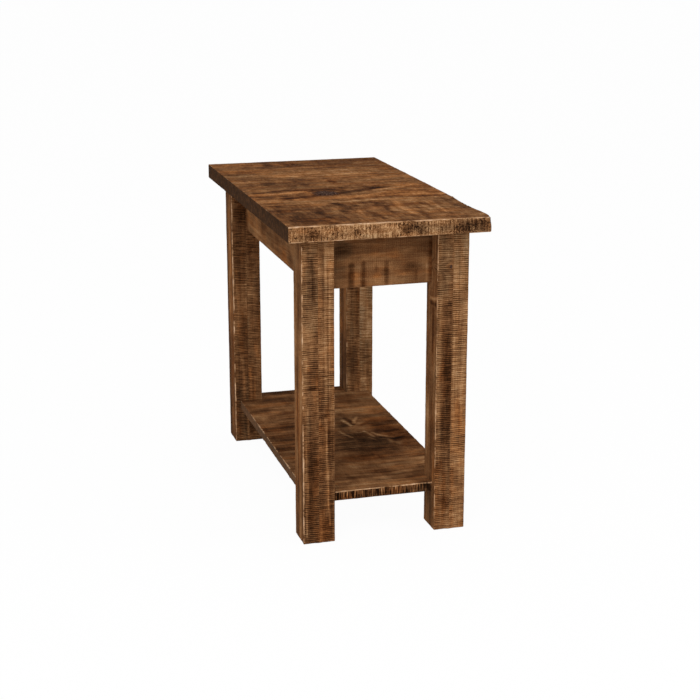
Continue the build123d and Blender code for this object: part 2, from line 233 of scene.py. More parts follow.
class Board:
    """A board of the table: where it is, how its grain runs and what its faces show. Each kind
    of noise adds its own number to the board's seed."""

    def __init__(self, node, along, across, seed, arris, low=None, high=None):
        self.node = node
        self.low = low_of(node) if low is None else low
        self.high = high_of(node) if high is None else high
        self.along = along
        self.across = across
        self.through = 3 - along - across
        self.seed = seed
        self.arris = arris
        self.steps = {along: SAWN_STEP, across: WIDE_STEP, self.through: WIDE_STEP}
        self.skins = {}
        self.sawn_axis = Y
        self.saw_depth = SAW_DEPTH
        self.glued = self.hidden = self.notches = self.worn_edges = ()
        self.marks = self.knots = self.dents = ()
        self.tone = self.warmth = 0.0

    def make(self):
        """Build the mesh object with its shape, its pattern values and its UV map."""
        lines = [mesh_lines(self.low[a], self.high[a], self.steps[a]) for a in (X, Y, Z)]
        for low, high in self.notches:
            for axis in (X, Y):
                for place in (low[axis], high[axis]):
                    if self.low[axis] < place < self.high[axis]:
                        snap(lines[axis], place)
        grid_quads, axes, sides = surface_quads(filled_cells(lines, self.notches))
        used, quads = np.unique(grid_quads, return_inverse=True)
        quads = quads.reshape(-1, 4)
        ranks = np.unravel_index(used, [len(line) for line in lines])
        flat = np.stack([line[rank] for line, rank in zip(lines, ranks)], axis=1)
        mesh = new_mesh(self.node, self.shaped(flat), quads)
        for name, values in self.pattern(flat).items():
            add_values(mesh, name, values)
        self.lay_out(mesh, flat, quads, axes, sides)
        self.dress(mesh, axes, sides)
        piece = bpy.data.objects.new(f"{self.node}_finished", mesh)
        bpy.context.scene.collection.objects.link(piece)
        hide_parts(self.node)
        return piece

    def board_places(self, points):
        """Points as distances along the grain, across it and through the board."""
        own = points - self.low
        return own[:, (self.along, self.across, self.through)]

    def gaps(self, points):
        """How far each point is from the low and the high face along each axis."""
        return np.stack([points - self.low, self.high - points])

    def edge_distances(self, points):
        """How far each point is from the nearest free arris, and from the nearest glued face."""
        gaps = self.gaps(points)
        seam = np.full(len(points), np.inf)
        for axis, side in self.glued:
            seam = np.minimum(seam, gaps[side, :, axis])
            gaps[side, :, axis] = np.inf
        return np.sort(gaps.min(axis=0), axis=1)[:, 1], seam

    def saw(self, points):
        """The saw's phase at each point, one turn to a ridge, and how strong its mark is."""
        places = self.board_places(points)
        wobble = noise_sum(0.0, places, self.seed, WOBBLE_NOISE)
        phase = (places[:, 0] + SAW_WOBBLE * wobble) / SAW_PITCH
        strength = noise_sum(SAW_STRENGTH, places, self.seed, STRENGTH_NOISE)
        return phase, np.clip(strength, *SAW_LIMITS)

    def rounding(self, flat, seam):
        """How round the arris by each point is: worn unevenly, and tight at a seam."""
        varying_size, chip_size = ARRIS_SIZES
        worn = 1 + ARRIS_VARIES * layered_noise(flat / varying_size, self.seed + 4)
        worn += ARRIS_CHIPS * fade(noise(flat / chip_size, self.seed + 5), *CHIP_NOISE)
        radius = np.clip(self.arris * worn, LEAST_ARRIS, ARRIS_LINES[-1])
        return GLUED_ARRIS + (radius - GLUED_ARRIS) * fade(seam, GLUED_FLAT, GLUED_FADE)

    def relief(self, flat, facing, seam):
        """How deep each point lies: saw ridges, slow unevenness and dents."""
        phase, strength = self.saw(flat)
        ridges = facing[:, self.sawn_axis] ** 2
        depth = self.saw_depth * strength * (0.5 + 0.5 * np.cos(2 * pi * phase)) * ridges
        swell = 0.5 + 0.5 * layered_noise(flat / SWELL_SIZE, self.seed + 6)
        depth += SWELL_DEPTH * np.clip(swell, 0, 1) * fade(seam, 0.0, GLUED_FADE)
        for dent in self.dents:
            depth += dent.depth * closeness(flat, dent, 0.0)
        return depth

    def shaped(self, flat):
        """The flat points with rounded, worn arrises, saw ridges and slow unevenness."""
        seam = self.edge_distances(flat)[1]
        radius = self.rounding(flat, seam)[:, None]
        core = np.clip(flat, self.low + radius, self.high - radius)
        out = flat - core
        length = np.linalg.norm(out, axis=1, keepdims=True)
        on_hull = (np.isclose(flat, self.low) | np.isclose(flat, self.high)).any(axis=1)
        facing = np.where(on_hull[:, None], out / np.maximum(length, 1e-9), 0.0)
        rounded = np.where(on_hull[:, None], core + facing * radius, flat)
        return rounded - facing * self.relief(flat, facing, seam)[:, None]

    def bent_grain(self, flat, places):
        """Places in the board with the grain swaying and going round the knots, and how many
        knot sizes each point is from the nearest knot."""
        bent = places.copy()
        bent[:, 1] += GRAIN_SWAY * noise(places / SWAY_SIZES, self.seed + 7)
        knot_ring = np.full(len(flat), NO_KNOT)
        for knot in self.knots:
            offset = (flat - knot.centre) / knot.radii
            offset = offset[:, (self.along, self.across, self.through)]
            knot_ring = np.minimum(knot_ring, np.sqrt((offset**2).sum(axis=1)))
            size = knot.radii[self.across]
            near = (offset[:, 0] / KNOT_REACH[0]) ** 2 + (offset[:, 1] / KNOT_REACH[1]) ** 2
            near = np.exp(-near)
            bent[:, 1] -= KNOT_PUSH * size * np.tanh(KNOT_TURN * offset[:, 1]) * near
            bent[:, 2] += KNOT_RISE * size * near
        return bent, knot_ring

    def stain(self, flat, bent):
        """Tone and warmth at each point, with the board's stains."""
        tone = np.full(len(flat), self.tone)
        warmth = np.full(len(flat), self.warmth)
        ragged = layered_noise(bent / RAGGED_SIZES, self.seed + 8)
        for mark in self.marks:
            near = closeness(flat, mark, ragged)
            tone += mark.tone * near
            warmth += mark.warmth * near
        return tone, warmth

    def wear(self, flat):
        """How worn each point is: a little at every arris, and in patches along worn edges."""
        uneven = noise_sum(0.0, flat, self.seed, UNEVEN_NOISE)
        usual, varying = ARRIS_WEAR
        arris = self.edge_distances(flat)[0]
        wear = np.exp(-((arris / ARRIS_WEAR_REACH) ** 2)) * (usual + varying * uneven)
        fine, coarse = EDGE_WEAR_VARIES
        patches = layered_noise(flat / EDGE_WEAR_SIZE, self.seed + 17, 2)
        patchy = 1 + fine * uneven + coarse * patches
        gaps = self.gaps(flat)
        for (axis, side), (other_axis, other_side), amount in self.worn_edges:
            away = np.hypot(gaps[side, :, axis], gaps[other_side, :, other_axis])
            near = np.exp(-((away / EDGE_WEAR_REACH) ** 2))
            wear = np.maximum(wear, amount * patchy * near)
        return wear

    def pattern(self, flat):
        """What the materials read at each point: bent grain, stain, figure and knots."""
        places = self.board_places(flat)
        bent, knot_ring = self.bent_grain(flat, places)
        phase, strength = self.saw(flat)
        pith = PITH_ACROSS * (self.high - self.low)[self.across]
        ring = np.hypot(bent[:, 1] - pith, bent[:, 2] - PITH_THROUGH)
        ring += RING_SWAY * noise(places / RING_SIZES, self.seed + 10)
        return {
            "grain": bent + BOARD_SHIFT * (self.seed % BOARD_SHIFTS),
            "stain": np.stack([*self.stain(flat, bent), self.wear(flat)], axis=1),
            "figure": np.stack([ring, phase, strength], axis=1),
            "knot": knot_ring,
        }

    def lay_out(self, mesh, flat, quads, axes, sides):
        """A UV map with each face of the board as one strip, the hidden faces thin."""
        size = self.high - self.low
        strips = {}
        for axis in (self.across, self.through):
            for side in (LOW, HIGH):
                is_hidden = (axis, side) in (*self.glued, *self.hidden)
                width = size[3 - self.along - axis]
                strips[axis, side] = width * (UV_HIDDEN if is_hidden else 1.0)
        ends = size[self.through] * UV_ENDS
        total = sum(strips.values()) + ends
        uv = np.zeros((len(quads), 4, 2))
        parts = (flat[quads] - self.low) / size
        places = []
        start = 0.0
        for (axis, side), share in strips.items():
            over = 3 - self.along - axis
            places.append((axis, side, self.along, over, 0.0, start, 1.0, share / total))
            start += share / total
        for side in (LOW, HIGH):
            end_place = (side * 0.5, start, 0.5, ends / total)
            places.append((self.along, side, self.across, self.through, *end_place))
        for axis, side, run, over, left, bottom, width, height in places:
            here = (axes == axis) & (sides == side)
            uv[here, :, 0] = left + UV_GAP + parts[here][..., run] * (width - 2 * UV_GAP)
            uv[here, :, 1] = bottom + UV_GAP + parts[here][..., over] * (height - 2 * UV_GAP)
        layer = mesh.uv_layers.new(name="OFBake")
        layer.data.foreach_set("uv", uv.ravel())

    def dress(self, mesh, axes, sides):
        """Give each side of the board its material."""
        names = sorted(set(self.skins.values()))
        for name in names:
            mesh.materials.append(materials[name])
        index = np.zeros(len(axes), int)
        for (axis, side), name in self.skins.items():
            index[(axes == axis) & (sides == side)] = names.index(name)
        mesh.polygons.foreach_set("material_index", index)
        mesh.polygons.foreach_set("use_smooth", np.ones(len(axes), bool))
        if self.notches:
            mesh.set_sharp_from_angle(angle=SHARP_TURN)


def closeness(points, spot, ragged):
    """1 in the middle of a spot or along a stroke, 0 well outside it, with a ragged rim."""
    if isinstance(spot, Stroke):
        away = np.full(len(points), np.inf)
        for start, end in zip(spot.path[:-1], spot.path[1:]):
            run = (end - start) / spot.radii
            offset = (points - start) / spot.radii
            part = np.clip(offset @ run / (run @ run), 0, 1)
            away = np.minimum(away, ((offset - part[:, None] * run) ** 2).sum(axis=1))
    else:
        away = (((points - spot.centre) / spot.radii) ** 2).sum(axis=1)
    return np.exp(-(np.maximum(away + MARK_RAGGED * ragged, 0.0) ** MARK_RIM))


def new_mesh(name, points, quads):
    """A mesh of quads, with its points given in millimetres."""
    mesh = bpy.data.meshes.new(name)
    mesh.vertices.add(len(points))
    mesh.vertices.foreach_set("co", (points * MM).ravel())
    mesh.loops.add(quads.size)
    mesh.loops.foreach_set("vertex_index", quads.ravel())
    mesh.polygons.add(len(quads))
    mesh.polygons.foreach_set("loop_start", np.arange(0, quads.size, 4))
    mesh.update(calc_edges=True)
    return mesh


def add_values(mesh, name, values):
    """Store one number or one vector for each point of a mesh."""
    is_vector = values.ndim == 2
    layer = mesh.attributes.new(name, "FLOAT_VECTOR" if is_vector else "FLOAT", "POINT")
    layer.data.foreach_set("vector" if is_vector else "value", values.astype(np.float32).ravel())


# ==== Materials ====
def srgb(red, green, blue):
    """A colour given as 0 to 255 sRGB, as the linear colour that a shader takes."""
    channels = [c / 255 for c in (red, green, blue)]
    return tuple(c / 12.92 if c < 0.04045 else ((c + 0.055) / 1.055) ** 2.4 for c in channels)


BURNT = srgb(30, 17, 9)
DARK = srgb(68, 41, 22)
BROWN = srgb(110, 73, 45)
TAN = srgb(150, 107, 69)
PALE = srgb(192, 150, 108)
WORN = srgb(196, 154, 116)
RAW = srgb(228, 192, 158)
GREYED = srgb(128, 104, 82)
ORANGE = (1.16, 0.95, 0.74)
OLIVE = (0.88, 1.0, 1.12)
DULL = {"Specular IOR Level": 0.002}
ROUGH = (0.6, 0.75)  # least and most roughness of stained wood
RING_PITCH = 3.6  # millimetres between growth rings


class Graph:
    """A node tree, with a short method for each kind of node that is used."""

    def __init__(self, owner):
        """The emptied tree of a material or a world."""
        owner.use_nodes = True
        self.owner = owner
        self.tree = owner.node_tree
        self.tree.nodes.clear()

    def node(self, kind, inputs, **settings):
        """A node with its settings and inputs, which are other nodes' outputs or plain values."""
        made = self.tree.nodes.new("ShaderNode" + kind)
        for name, value in settings.items():
            setattr(made, name, value)
        for name, value in inputs.items():
            socket = made.inputs[name]
            if isinstance(value, bpy.types.NodeSocket):
                self.tree.links.new(value, socket)
            else:
                socket.default_value = value
        return made

    def math(self, operation, first, second=0.0, third=0.0, clamp=False):
        inputs = {0: first, 1: second, 2: third}
        return self.node("Math", inputs, operation=operation, use_clamp=clamp).outputs[0]

    def values(self, name, output="Vector"):
        """A mesh's stored vectors, or its numbers with the output Fac."""
        return self.node("Attribute", {}, attribute_name=name).outputs[output]

    def parts(self, name):
        """The three numbers of a mesh's stored vectors."""
        return self.node("SeparateXYZ", {0: self.values(name)}).outputs

    def noise(self, place, sizes, detail=2.0, roughness=0.5, distortion=0.0):
        """Noise of the given sizes along the axes of a place."""
        scale = {0: place, 1: [1 / size for size in sizes]}
        scaled = self.node("VectorMath", scale, operation="MULTIPLY").outputs[0]
        inputs = {"Vector": scaled, "Scale": 1.0, "Detail": detail}
        inputs.update({"Roughness": roughness, "Distortion": distortion})
        return self.node("TexNoise", inputs).outputs["Fac"]

    def total(self, start, *weighted):
        """start plus the sum of weight times value."""
        result = start
        for weight, value in weighted:
            result = self.math("MULTIPLY_ADD", value, weight, result)
        return result

    def between(self, value, low, high, to_low=0.0, to_high=1.0):
        """value from low..high to to_low..to_high, smooth and held at both ends."""
        inputs = {"Value": value, "From Min": low, "From Max": high}
        inputs.update({"To Min": to_low, "To Max": to_high})
        return self.node("MapRange", inputs, interpolation_type="SMOOTHSTEP").outputs[0]

    def ramp(self, value, stops):
        made = self.node("ValToRGB", {0: value})
        elements = made.color_ramp.elements
        while len(elements) < len(stops):
            elements.new(0.5)
        for element, (place, colour) in zip(elements, stops):
            element.position = place
            element.color = (*colour, 1.0)
        return made.outputs[0]

    def mix(self, factor, first, second, blend="MIX"):
        colours = [c if isinstance(c, bpy.types.NodeSocket) else (*c, 1.0) for c in (first, second)]
        inputs = {0: factor, 6: colours[0], 7: colours[1]}
        made = self.node("Mix", inputs, data_type="RGBA", blend_type=blend)
        return made.outputs[2]

    def finish(self, colour, roughness, height, distance, **plain):
        """The surface shader, with bumps of height 0 to 1 over a distance in millimetres."""
        bump = self.node("Bump", {"Height": height, "Distance": distance * MM, "Strength": 1.0})
        inputs = {"Base Color": colour, "Roughness": roughness, "Normal": bump.outputs[0], **plain}
        shader = self.node("BsdfPrincipled", inputs)
        self.node("OutputMaterial", {"Surface": shader.outputs[0]})
        return self.owner


WOOD_STOPS = ((0.0, BURNT), (0.25, DARK), (0.5, BROWN), (0.75, TAN), (1.0, PALE))
KNOT_STOPS = ((0.0, BURNT), (0.25, srgb(56, 35, 29)), (0.45, srgb(128, 100, 84)))

# Size of each pattern along the grain and across it, and its finer detail
PATTERNS = {
    "band": (420.0, 26.0, 2.0),
    "streak": (170.0, 8.0, 4.0),
    "line": (150.0, 1.7, 2.0),
    "thread": (60.0, 2.6, 2.0),
    "fibre": (26.0, 0.9, 2.0),
    "blotch": (60.0, 28.0, 4.0),
    "cross": (2.8, 26.0, 3.0),
    "sweep": (6.0, 75.0, 3.0),
    "cloud": (20.0, 38.0, 3.0),
    "speck": (5.0, 8.0, 3.0),
    "grit": (2.0, 1.6, 2.0),
    "pit": (2.4, 4.5, 2.0),
}

# How strongly each pattern shows on a kind of face, in the order of PATTERNS, then how strongly
# the saw's lines do, and how much lighter the face is than plain brown
FACES = {
    "planed": (0.4, 0.45, 0.45, 0, 0.4, 0.55, 0.08, 0, 0.55, 0.6, 0.4, 0, 0, 0.03),
    "figured": (0.3, 0.58, 0.6, 0, 0.4, 0.5, 0.06, 0, 0.6, 0.6, 0.4, 0, 0, 0.03),
    "worked": (0.4, 0.5, 0.8, 0.3, 0.5, 0.7, 0.2, 0, 0.4, 0, 0.45, 0, 0, 0.04),
    "mottled": (0, 0.35, 0.3, 0.3, 0.4, 0.6, 0.22, 0.36, 0.8, 0.35, 0.55, 0, 0.03, 0.03),
    "sawn": (0.3, 0.45, 0.2, 0.1, 0.25, 0.5, 0.85, 0, 0, 0, 0.5, 0, 0.45, 0.12),
    "apron": (0.35, 0.4, 0.4, 0.08, 0.45, 0.5, 0.08, 0.08, 0.2, 0, 0.5, 0, 0.06, 0.02),
    "smooth": (0.5, 0.7, 0.7, 0.1, 0.45, 0.5, 0.03, 0, 0.15, 0.25, 0.4, 0, 0.04, 0.03),
    "edge": (0, 0, 0, 0.4, 0.4, 0.4, 1.2, 0, 0.3, 0, 1.4, 4.5, 0.04, 0.16),
    "burnt_edge": (0, 0.2, 0, 0.2, 0.3, 1, 2.4, 0, 0, 0, 0.3, 1.6, 0.15, -0.19),
}
SAW_BUMP = -0.7  # height of a saw line in the bumps, for each part of its weight
LINE_SHARE = 0.16  # how much a pattern that only darkens does so, for each part of its weight
LINE_EDGE = (0.47, 0.33)  # noise from which a line or a pit starts, and at which it is full
PIT_PATCH = (0.6, 0.4)  # the same for the blotches that pits lie in


def with_patterns(g, level, spots, weights):
    """A brightness with each pattern added at its weight; lines and pits only darken it."""
    for kind, spot in spots.items():
        weight = weights[kind]
        if kind in ("line", "pit"):
            dark = g.between(spot, *LINE_EDGE)
            if kind == "pit":
                dark = g.math("MULTIPLY", dark, g.between(spots["blotch"], *PIT_PATCH))
            level = g.total(level, (-LINE_SHARE * weight, dark))
        else:
            level = g.total(g.math("SUBTRACT", level, weight / 2), (weight, spot))
    return level


def tinted(g, colour, grain, warmth):
    """A colour turned to orange where the wood is warm and to olive where it is cool."""
    drift = g.noise(grain, (150.0, 26.0, 26.0), detail=3.0)
    flecks = g.noise(grain, (30.0, 12.0, 12.0), detail=3.0)
    hue = g.total(-1.5, (1.0, warmth), (1.7, drift), (1.3, flecks))
    for tint, full in ((ORANGE, 0.6), (OLIVE, -0.6)):
        share = g.between(hue, 0.0, full, 0.0, 0.9)
        colour = g.mix(share, colour, g.mix(1.0, colour, tint, "MULTIPLY"))
    return colour


def knotted(g, colour, grain, grit):
    """A colour with the board's knots, dark, gritty and faintly ringed."""
    knot = g.values("knot", "Fac")
    edge = g.total(knot, (1.0, g.noise(grain, (9.0, 7.0, 7.0), detail=4.0)))
    rings = g.math("SINE", g.math("MULTIPLY", edge, 30.0))
    level = g.total(-0.65, (0.05, rings), (1.7, grit))
    return g.mix(g.between(edge, 1.75, 1.15), colour, g.ramp(level, KNOT_STOPS))


def rubbed(g, colour, wear, fibre):
    """A colour with the stain rubbed off where the board is worn, down to raw wood."""
    share = g.between(g.total(wear, (0.9, fibre)), 0.85, 1.25)
    bare = g.mix(g.between(wear, 0.8, 1.3), WORN, RAW)
    return g.mix(share, colour, g.mix(g.between(fibre, 0.35, 0.6), TAN, bare))


def stained_wood(name, weights):
    """Brown-stained wood along the grain: streaks, fibres, blotches, saw lines, knots and wear."""
    g = Graph(bpy.data.materials.new(name))
    grain = g.values("grain")
    tone, warmth, wear = g.parts("stain")
    phase, strength = g.parts("figure")[1:3]
    spots = {}
    for kind, (along, across, detail) in PATTERNS.items():
        if weights[kind]:
            spots[kind] = g.noise(grain, (along, across, across), detail, distortion=0.2)
    saw_wave = g.math("COSINE", g.math("MULTIPLY", phase, 2 * pi))
    saw_line = g.math("MULTIPLY", g.between(saw_wave, 0.1, 0.95), strength)
    level = g.total(0.5 + weights["lift"], (1.0, tone), (-weights["saw"], saw_line))
    level = with_patterns(g, level, spots, weights)
    colour = tinted(g, g.ramp(level, WOOD_STOPS), grain, warmth)
    colour = knotted(g, colour, grain, spots["grit"])
    colour = rubbed(g, colour, wear, spots["fibre"])
    roughness = g.between(level, 0.2, 0.8, *ROUGH)
    saw_height = (SAW_BUMP * weights["saw"], saw_line)
    fine_height = ((0.5, spots["fibre"]), (0.3, spots["grit"]))
    height = g.total(0.0, *fine_height, (0.35, level), saw_height)
    return g.finish(colour, roughness, height, 0.35, **DULL)


def end_grain(name, lift, grey):
    """Stained end grain with growth rings and pores; lift lightens it, and grey is the share
    of grey in it."""
    g = Graph(bpy.data.materials.new(name))
    grain = g.values("grain")
    tone, _, wear = g.parts("stain")
    ring = g.parts("figure")[0]
    pores = g.noise(grain, (9.0, 0.7, 0.7), detail=3.0, roughness=0.65)
    patches = g.noise(grain, (14.0, 9.0, 9.0), detail=4.0)
    turns = g.math("MULTIPLY", g.total(ring, (5.0, patches)), 2 * pi / RING_PITCH)
    rings = g.math("SINE", turns)
    level = g.total(lift - 0.76, (1.2, pores), (0.7, patches), (0.05, rings), (0.7, tone))
    colour = g.mix(grey, g.ramp(level, WOOD_STOPS), GREYED)
    share = g.between(g.total(wear, (0.9, pores)), 0.95, 1.4)
    colour = g.mix(share, colour, GREYED)
    roughness = g.between(pores, 0.3, 0.7, *ROUGH)
    height = g.total(0.0, (0.8, pores), (0.2, patches))
    return g.finish(colour, roughness, height, 0.5, **DULL)


def inner_wood(name, along, light, dark):
    """Plain wood for the pieces that keep their CAD mesh, with its grain along one axis. Its
    sizes and those of the screws' steel are in metres."""
    g = Graph(bpy.data.materials.new(name))
    place = g.node("TexCoord", {}).outputs["Object"]
    fibre_sizes = [0.0012] * 3
    fibre_sizes[along] = 0.03
    band_sizes = [0.007] * 3
    band_sizes[along] = 0.09
    fibre = g.noise(place, fibre_sizes, detail=3.0, roughness=0.6)
    band = g.noise(place, band_sizes, detail=2.0, distortion=0.5)
    level = g.total(-0.6, (1.0, fibre), (1.2, band))
    colour = g.ramp(level, ((0.1, dark), (0.9, light)))
    roughness = g.between(fibre, 0.3, 0.7, 0.5, 0.65)
    return g.finish(colour, roughness, fibre, 0.25, **{"Specular IOR Level": 0.05})


def screw_steel(name):
    """Zinc-plated steel with a fine brushed grain and dull specks."""
    g = Graph(bpy.data.materials.new(name))
    place = g.node("TexCoord", {}).outputs["Object"]
    brushed = g.noise(place, (0.0002, 0.0002, 0.002), detail=2.0)
    specks = g.noise(place, (0.0015, 0.0015, 0.0015), detail=3.0)
    colour = g.mix(g.between(specks, 0.45, 0.65), srgb(150, 148, 142), srgb(112, 106, 96))
    roughness = g.between(g.total(0.0, (0.5, brushed), (0.5, specks)), 0.3, 0.7, 0.25, 0.5)
    return g.finish(colour, roughness, brushed, 0.05, Metallic=1.0)


materials = {
    name: stained_wood(name, dict(zip((*PATTERNS, "saw", "lift"), weights)))
    for name, weights in FACES.items()
}
materials["end"] = end_grain("end", -0.07, 0.08)
materials["pale_end"] = end_grain("pale_end", 0.14, 0.25)


# ==== Where things are ====
def low_of(node):
    return np.array(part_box(node)[LOW]) / MM


def high_of(node):
    return np.array(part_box(node)[HIGH]) / MM


def row_faces(boards):
    """The upper face and the front edge of a row of boards that runs from back to front."""
    back, front = boards[0], boards[-1]
    corner = np.array([low_of(back)[X], high_of(back)[Y], high_of(back)[Z]])
    edge_corner = np.array([corner[X], low_of(front)[Y], corner[Z]])
    return Face(corner, RIGHT, FORWARD), Face(edge_corner, RIGHT, DOWN)


def upright_faces(low, high):
    """The front and the left face of what lies between two corners."""
    front = Face(np.array([low[X], low[Y], high[Z]]), RIGHT, DOWN)
    left = Face(np.array([low[X], high[Y], high[Z]]), FORWARD, DOWN)
    return front, left


def row_board(boards, node, seed, arris, ends, edge, face):
    """A board of a row, glued to its neighbours and smooth underneath, with the given kinds of
    face at the row's ends, at its front and back edge, and on the rest."""
    is_back, is_front = node == boards[0], node == boards[-1]
    board = Board(node, X, Y, seed, arris)
    board.glued = [(Y, side) for side, outer in ((LOW, is_front), (HIGH, is_back)) if not outer]
    sides = (edge if is_front else face, edge if is_back else face)
    board.skins = dict(zip(SIDES, (ends, ends, *sides, "smooth", face)))
    return board


def leg_box(corner):
    """The two boards of a leg, and the lowest and highest corner of both together."""
    boards = [f"leg_{corner}_{half}" for half in ("outer", "inner")]
    low = np.minimum(*[low_of(board) for board in boards])
    high = np.maximum(*[high_of(board) for board in boards])
    return boards, low, high


def place_on(face, right, down):
    """The point at a place to the right and down from a face's corner, as it is seen."""
    return face.corner + right * face.right + down * face.down


def ellipsoid_on(face, right, down, width, height, depth):
    """The centre and the radii of a spot on a face that reaches into it by a depth."""
    radii = width / 2 * np.abs(face.right) + height / 2 * np.abs(face.down)
    inward = np.abs(np.cross(face.right, face.down))
    return place_on(face, right, down), radii + depth * inward


def marks_on(face, rows):
    """Stains on a face: each row has its place to the right and down from the face's corner,
    its width and height, its tone and its warmth."""
    return [Mark(*ellipsoid_on(face, *row[:4], MARK_DEPTH), *row[4:]) for row in rows]


def strokes_on(face, rows):
    """Long stains on a face: each row has its half width, its tone, its warmth and the points
    that it runs through, each to the right and down from the face's corner."""
    inward = np.abs(np.cross(face.right, face.down))
    found = []
    for radius, tone, warmth, *points in rows:
        path = np.array([place_on(face, *point) for point in points])
        radii = radius + (MARK_DEPTH - radius) * inward
        found.append(Stroke(path[0], path, radii, tone, warmth))
    return found


def knots_on(face, rows):
    """Knots on a face: each row has its place, its width and its height."""
    return [Knot(*ellipsoid_on(face, *row, KNOT_DEPTH)) for row in rows]


def within(board, spots):
    """The spots whose middle lies in a board."""
    slack = 1.0
    low, high = board.low - slack, board.high + slack
    return [s for s in spots if (s.centre > low).all() and (s.centre < high).all()]


def finish_piece(board):
    """Make a board's piece and tell the frame what it stands for."""
    piece = board.make()
    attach(piece, "root")


# ==== Top ====
TOP_BOARDS = ("top_board_back", "top_board_mid_back", "top_board_mid_front", "top_board_front")
TOP_ARRIS = 1.8
TOP_SAW_DEPTH = 0.14
TOP_STEPS = {X: 1.5, Y: 3.0, Z: 3.0}
TOP_WEAR = (((Y, LOW), (Z, HIGH), 1.0), ((Y, LOW), (Z, LOW), 0.6))
# Seed, kind of face, tone and warmth of each board
TOP_LOOKS = (
    (40, "planed", 0.02, 0.15),
    (51, "planed", 0.02, 0.15),
    (62, "figured", 0.05, 0.2),
    (73, "mottled", 0.03, 0.08),
)
# Right and down from the back left corner, width, height, tone, warmth
TOP_STAINS = (
    (126, 46, 24, 60, -0.26, -0.2),
    (172, 50, 36, 56, -0.24, 0.5),
    (60, 28, 70, 20, 0.06, 0.5),
    (300, 50, 230, 110, -0.1, 0),
    (45, 118, 90, 28, 0.09, 0.6),
    (200, 150, 330, 50, 0.13, 0.1),
    (210, 196, 340, 60, 0.15, 0.15),
    (300, 250, 200, 60, 0.06, 0.1),
    (372, 175, 30, 70, -0.12, 0.4),
    (45, 190, 44, 60, -0.09, -0.3),
    (75, 300, 36, 80, -0.18, -0.1),
    (140, 262, 50, 50, -0.18, 0),
    (125, 318, 70, 50, -0.18, 0),
    (142, 328, 24, 50, -0.14, 0),
    (207, 300, 18, 44, -0.3, 1.0),
    (310, 300, 150, 90, 0.07, 0.1),
    (355, 312, 44, 34, -0.09, -0.1),
    (156, 438, 84, 84, -0.2, 0.2),
    (205, 488, 240, 30, 0.11, 0.4),
    (350, 378, 50, 40, 0.12, 0.7),
    (230, 536, 300, 16, 0.16, 0.1),
    (340, 480, 110, 60, 0.06, 0.4),
    (30, 548, 50, 40, -0.26, -0.1),
    (45, 650, 120, 170, -0.2, 0.1),
    (52, 726, 110, 70, -0.16, 0.2),
    (255, 586, 70, 36, -0.1, 0),
    (130, 700, 60, 80, -0.1, 0),
    (300, 640, 120, 170, 0.07, 0.2),
    (372, 620, 26, 150, -0.14, -0.1),
)
# Half width, tone, warmth and the points, each right and down from the back left corner
TOP_STROKES = (
    (13, -0.34, 0.1, (176, 448), (212, 434), (244, 418), (270, 404)),
    (8, -0.24, 0, (268, 406), (300, 396)),
    (11, -0.3, 0.3, (140, 458), (100, 470), (62, 480)),
    (8, 0.22, -0.1, (266, 428), (296, 414), (334, 400)),
    (9, 0.12, 0.2, (20, 506), (130, 508), (220, 482), (290, 452), (350, 440)),
    (8, -0.22, 0.1, (14, 404), (48, 396), (90, 386), (124, 394)),
    (8, -0.18, 0.1, (4, 446), (44, 456), (96, 444)),
    (9, 0.12, 0.2, (6, 424), (50, 430), (96, 414), (122, 410)),
    (8, -0.12, 0.2, (110, 388), (180, 382), (250, 388), (310, 376)),
    (12, -0.22, 0.1, (140, 404), (176, 400), (196, 412)),
    (9, -0.14, 0.1, (200, 512), (280, 506), (360, 512)),
    (11, -0.26, 0, (146, 556), (156, 596), (146, 640)),
    (7, -0.22, 0, (172, 562), (182, 590)),
    (9, -0.2, 0, (188, 560), (212, 558), (240, 572)),
    (8, 0.22, 0.2, (266, 566), (258, 620), (264, 690)),
    (6, -0.18, 0, (236, 600), (224, 650), (228, 690)),
    (6, -0.18, 0.1, (188, 668), (194, 730)),
    (6, -0.16, 0.1, (280, 690), (274, 748)),
    (6, -0.14, 0, (310, 570), (316, 640)),
    (6, 0.12, 0.1, (330, 590), (326, 690)),
    (7, 0.12, 0.2, (168, 640), (160, 700), (166, 748)),
    (8, -0.16, 0.1, (104, 590), (92, 640), (98, 700)),
    (7, 0.1, 0, (72, 600), (66, 660)),
    (9, -0.12, 0.3, (230, 30), (300, 36), (380, 28)),
    (8, -0.1, 0.1, (60, 86), (160, 92), (300, 84)),
    (7, 0.09, 0.2, (90, 214), (200, 220), (340, 212)),
    (7, -0.1, 0, (30, 246), (70, 250), (110, 242)),
)
TOP_KNOTS = ((158, 438, 50, 60),)

# On the front edge: right and down from its top left corner
TOP_EDGE_STAINS = (
    (197, 15, 420, 50, 0.02, -0.15),
    (44, 18, 38, 22, -0.34, 0),
    (90, 10, 60, 16, 0.09, 0.1),
    (130, 16, 14, 12, -0.24, 0),
    (152, 14, 30, 24, 0.09, 0.1),
    (176, 18, 22, 14, -0.18, 0.1),
    (200, 12, 28, 24, 0.08, 0.1),
    (230, 16, 26, 20, -0.28, 0),
    (258, 18, 34, 22, -0.34, -0.5),
    (300, 14, 50, 22, -0.26, -0.3),
    (358, 17, 70, 26, -0.38, -0.5),
    (110, 1, 240, 4, 0.05, 0),
)
# Where the front board's right end is worn in: place from its upper front right corner, radii
# and depth
TOP_DENTS = (
    ((0, 131, 0), (30, 60, 60), 2.2),
    ((0, 0, 0), (12, 12, 12), 3.0),
    ((-46.85, 0, 0), (46, 12, 7), 0.8),
)


